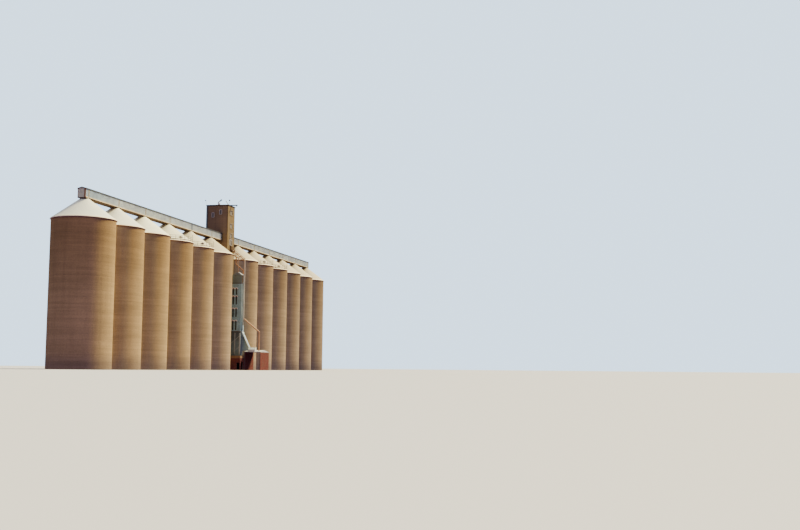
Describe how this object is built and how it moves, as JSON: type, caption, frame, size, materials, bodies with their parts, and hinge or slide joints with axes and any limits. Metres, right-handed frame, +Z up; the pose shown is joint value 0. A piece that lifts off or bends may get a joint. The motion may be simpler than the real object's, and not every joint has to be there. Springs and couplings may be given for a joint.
{
  "type": "grain silo scale model",
  "caption": "Scale model of a grain silo: a row of round concrete bins with white cone roofs, an elevator tower, a conveyor gallery over the peaks, a drier and an intake shed.",
  "frame": {"origin": "on the ground in the middle of the row, on the underside of the tower's ground floor", "axes": "+X along the row towards its east end, -Y towards the front where the drier stands, +Z up"},
  "size_m": [19.2, 2.068, 5.3183],
  "materials": {
    "bin_concrete": "slip-formed concrete, weathered to a warm tan with faint level bands",
    "white_roof": "concrete cone painted white, chalky",
    "gallery_sheet": "ribbed cladding sheet, pale warm grey",
    "tower_concrete": "plastered concrete, brown",
    "dark_slab": "bare concrete slab, dark",
    "brown_steel": "steel with brown primer and rust",
    "tan_pipe": "steel pipe, tan paint with rust",
    "drier_sheet": "grey-green sheet steel",
    "drier_frame": "dark grey steel",
    "pale_duct": "pale green painted sheet",
    "brick": "dark red brick with mortar joints",
    "ochre_plaster": "ochre plaster on concrete",
    "shed_roof": "white painted roof sheet"
  },
  "bodies": {
    "root": {"bin_01_wall": "bin_concrete", "bin_02_wall": "bin_concrete", "bin_03_wall": "bin_concrete", "bin_04_wall": "bin_concrete", "bin_05_wall": "bin_concrete", "bin_06_wall": "bin_concrete", "bin_07_wall": "bin_concrete", "bin_08_wall": "bin_concrete", "bin_09_wall": "bin_concrete", "bin_10_wall": "bin_concrete", "bin_11_wall": "bin_concrete", "bin_12_wall": "bin_concrete", "bin_01_roof": "white_roof", "bin_02_roof": "white_roof", "bin_03_roof": "white_roof", "bin_04_roof": "white_roof", "bin_05_roof": "white_roof", "bin_06_roof": "white_roof", "bin_07_roof": "white_roof", "bin_08_roof": "white_roof", "bin_09_roof": "white_roof", "bin_10_roof": "white_roof", "bin_11_roof": "white_roof", "bin_12_roof": "white_roof", "bin_04_guard_rail": "brown_steel", "bin_05_guard_rail": "brown_steel", "bin_08_guard_rail": "brown_steel", "bin_09_guard_rail": "brown_steel", "gallery_west_floor": "dark_slab", "gallery_west_front_wall": "gallery_sheet", "gallery_west_back_wall": "gallery_sheet", "gallery_west_end_wall": "gallery_sheet", "gallery_west_roof": "gallery_sheet", "gallery_east_floor": "dark_slab", "gallery_east_front_wall": "gallery_sheet", "gallery_east_back_wall": "gallery_sheet", "gallery_east_end_wall": "gallery_sheet", "gallery_east_roof": "gallery_sheet", "tower_front_wall": "tower_concrete", "tower_back_wall": "tower_concrete", "tower_west_wall": "tower_concrete", "tower_east_wall": "tower_concrete", "tower_ground_floor": "dark_slab", "tower_floor_1": "dark_slab", "tower_floor_2": "dark_slab", "tower_floor_3": "dark_slab", "tower_roof": "dark_slab", "tower_door_platform": "brown_steel", "spout_bridge": "brown_steel", "loadout_pipe": "tan_pipe", "drier_feed_pipes": "tan_pipe", "drier_top_bin": "drier_sheet", "drier_column": "drier_sheet", "drier_hopper_frame": "drier_frame", "drier_discharge_duct": "pale_duct", "drier_base_walls": "brick", "drier_base_roof": "ochre_plaster", "intake_shed_roof": "shed_roof", "intake_shed_front_wall": "brick", "intake_shed_back_wall": "brick"}
  },
  "joints": []
}
